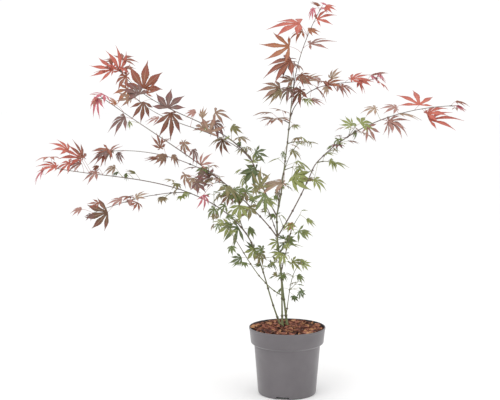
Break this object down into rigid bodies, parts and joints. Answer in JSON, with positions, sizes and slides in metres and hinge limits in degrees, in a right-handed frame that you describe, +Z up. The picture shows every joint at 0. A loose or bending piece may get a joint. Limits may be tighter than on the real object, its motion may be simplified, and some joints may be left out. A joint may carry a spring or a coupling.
{
  "type": "potted japanese maple",
  "caption": "Young many-stemmed maple with arching boughs and lobed leaves turning from green to rust and coral, in a round grey nursery pot.",
  "frame": {"origin": "middle of the pot's flat underside, on the ground", "axes": "+Z up the stems; +X along the widest spread of the boughs, with the longer low boughs towards -X; -Y towards the viewer"},
  "size_m": [1.0408, 0.4132, 0.9728],
  "materials": {
    "pot": "matt warm grey",
    "potting_soil": "reddish brown bark mulch over soil",
    "green_bark": "smooth olive green bark",
    "brown_bark": "smooth purplish brown bark",
    "green_leaves": "thin soft leaves",
    "bronze_leaves": "thin soft leaves",
    "rust_leaves": "thin soft leaves",
    "coral_leaves": "thin soft leaves"
  },
  "bodies": {
    "root": {"pot": "pot", "potting_soil": "potting_soil", "stem_leader": "green_bark", "stem_middle": "green_bark", "stem_left": "green_bark", "stem_thin_left": "green_bark", "stem_small_right": "green_bark", "bough_left": "brown_bark", "bough_low_left": "brown_bark", "bough_middle_left": "brown_bark", "bough_side_left": "brown_bark", "bough_upper_left": "brown_bark", "bough_right": "brown_bark", "bough_upper_right": "brown_bark", "bough_front": "brown_bark", "bough_back": "brown_bark", "foliage_top": "coral_leaves", "foliage_upper_right": "coral_leaves", "foliage_right": "rust_leaves", "foliage_upper_left": "rust_leaves", "foliage_upper_side": "rust_leaves", "foliage_middle_left": "rust_leaves", "foliage_side_left": "rust_leaves", "foliage_left": "rust_leaves", "foliage_low_left": "rust_leaves", "foliage_thin_left": "green_leaves", "foliage_small_right": "green_leaves", "foliage_middle": "green_leaves", "foliage_front": "green_leaves", "foliage_back": "green_leaves", "foliage_low": "green_leaves", "foliage_heart": "green_leaves", "foliage_high": "green_leaves", "foliage_fork": "bronze_leaves", "foliage_whorl": "bronze_leaves", "foliage_elbow": "green_leaves", "foliage_knee": "green_leaves", "foliage_arch": "green_leaves", "foliage_shoulder": "green_leaves", "foliage_wing": "bronze_leaves", "foliage_right_low": "green_leaves"}
  },
  "joints": []
}
